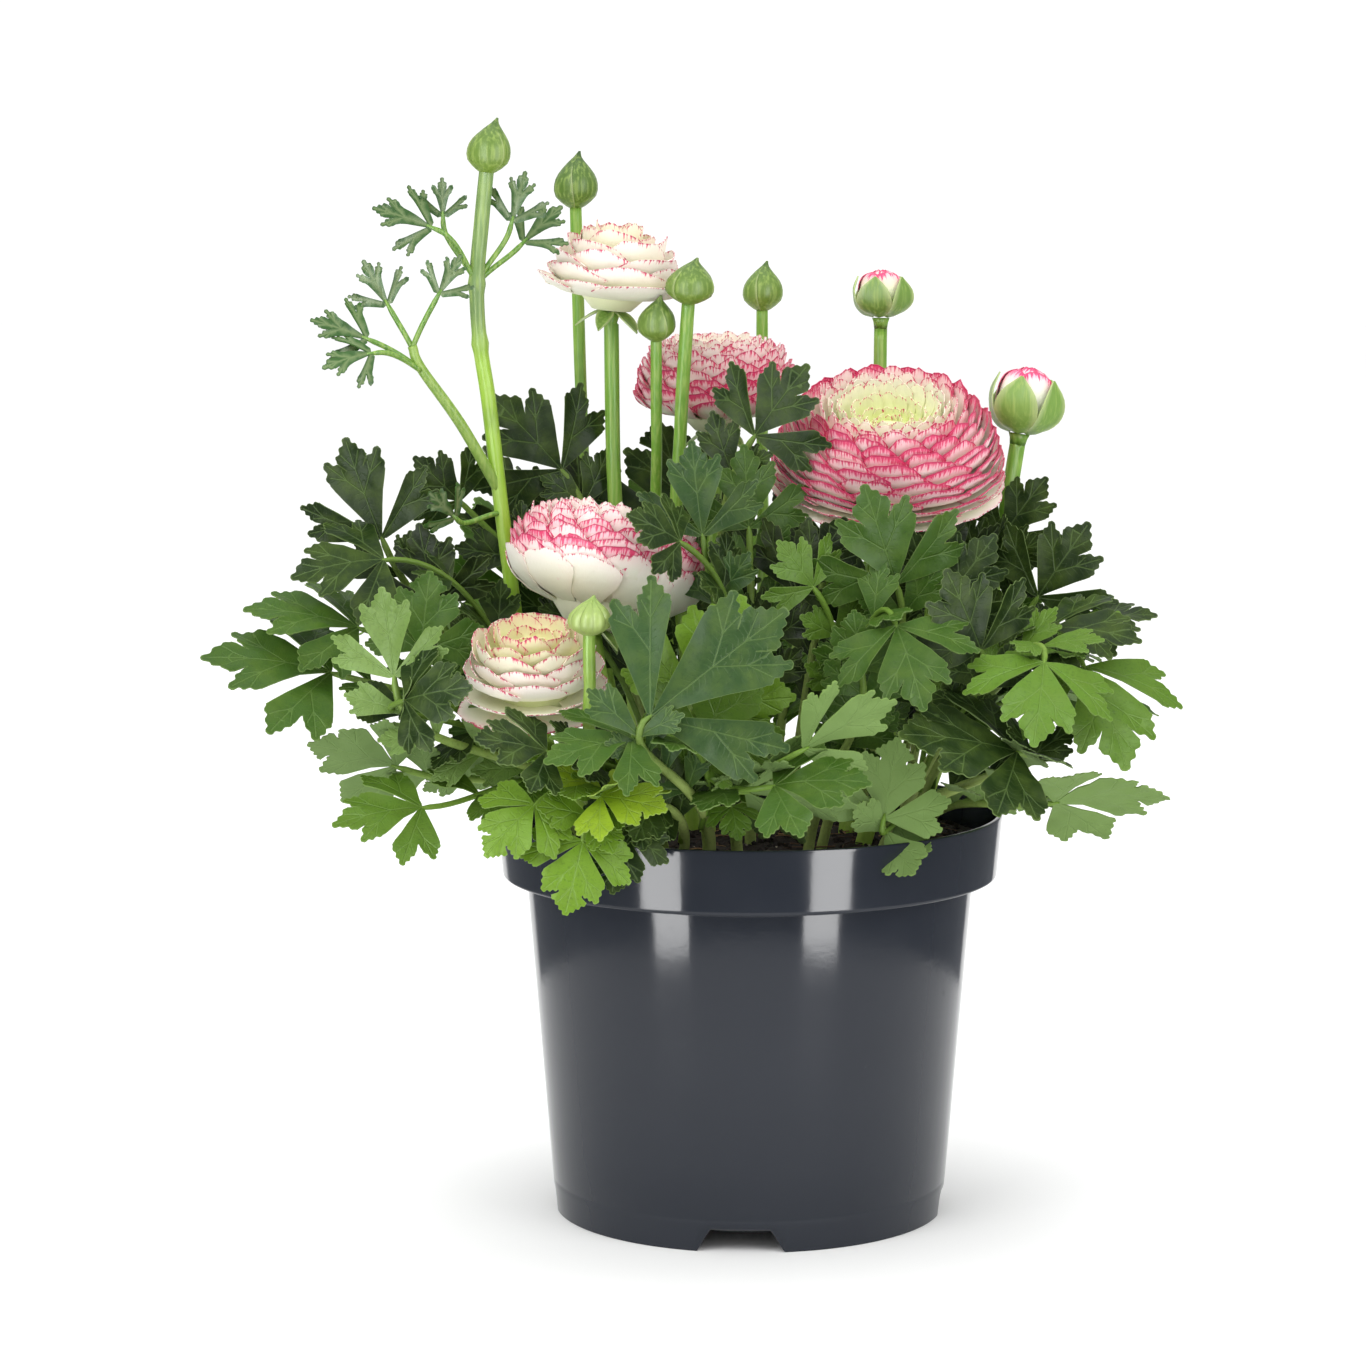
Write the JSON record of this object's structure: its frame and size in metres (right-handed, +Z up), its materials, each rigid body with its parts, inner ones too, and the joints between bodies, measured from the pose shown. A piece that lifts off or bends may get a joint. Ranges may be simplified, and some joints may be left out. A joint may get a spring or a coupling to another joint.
{
  "type": "potted persian buttercup",
  "caption": "Potted Persian buttercup: a dark tapered plastic pot with a rim band, sprays of lobed leaves, upright stems with buds, and double white blooms edged in pink.",
  "frame": {"origin": "middle of the pad on the pot's underside, on the ground at the pot's axis", "axes": "+Z up, -Y towards the front of the picture, +X to its right"},
  "size_m": [0.3536, 0.2804, 0.4088],
  "materials": {
    "pot": "gloss",
    "soil": "matte",
    "stem": "satin",
    "leaf": "satin",
    "petal": "satin"
  },
  "bodies": {
    "root": {"pot": "pot", "soil": "soil", "stem_bud_tall": "stem", "stem_bud_second": "stem", "stem_bloom_top": "stem", "stem_bud_middle": "stem", "stem_bud_small": "stem", "stem_bud_back": "stem", "stem_bud_cream": "stem", "stem_bloom_back": "stem", "stem_bloom_large": "stem", "stem_bud_pink": "stem", "stem_bloom_front": "stem", "stem_bloom_low": "stem", "stem_seed_head": "stem", "stem_bud_hidden": "stem", "bud_petals_cream": "petal", "bud_petals_pink": "petal", "bloom_top": "petal", "bloom_back": "petal", "bloom_large": "petal", "bloom_front": "petal", "bloom_low": "petal", "spray_left_upper": "leaf", "spray_far_left": "leaf", "spray_left_pale": "leaf", "spray_low_left": "leaf", "spray_rim_bright": "leaf", "spray_rim_lime": "leaf", "spray_front_blue": "leaf", "spray_centre_lime": "leaf", "spray_front_wide": "leaf", "spray_right_centre": "leaf", "spray_forks": "leaf", "spray_right_drooping": "leaf", "spray_far_right_drooping": "leaf", "spray_far_right_dark": "leaf", "spray_right_wide": "leaf", "spray_low_right_pale": "leaf", "spray_right_top": "leaf", "spray_centre_top": "leaf", "spray_by_bloom": "leaf", "spray_left_inner": "leaf", "spray_back_1": "leaf", "spray_back_2": "leaf", "spray_back_3": "leaf", "spray_back_4": "leaf", "spray_back_5": "leaf", "spray_back_6": "leaf", "spray_back_7": "leaf", "spray_back_8": "leaf", "spray_back_9": "leaf", "spray_back_10": "leaf", "spray_back_11": "leaf"}
  },
  "joints": []
}
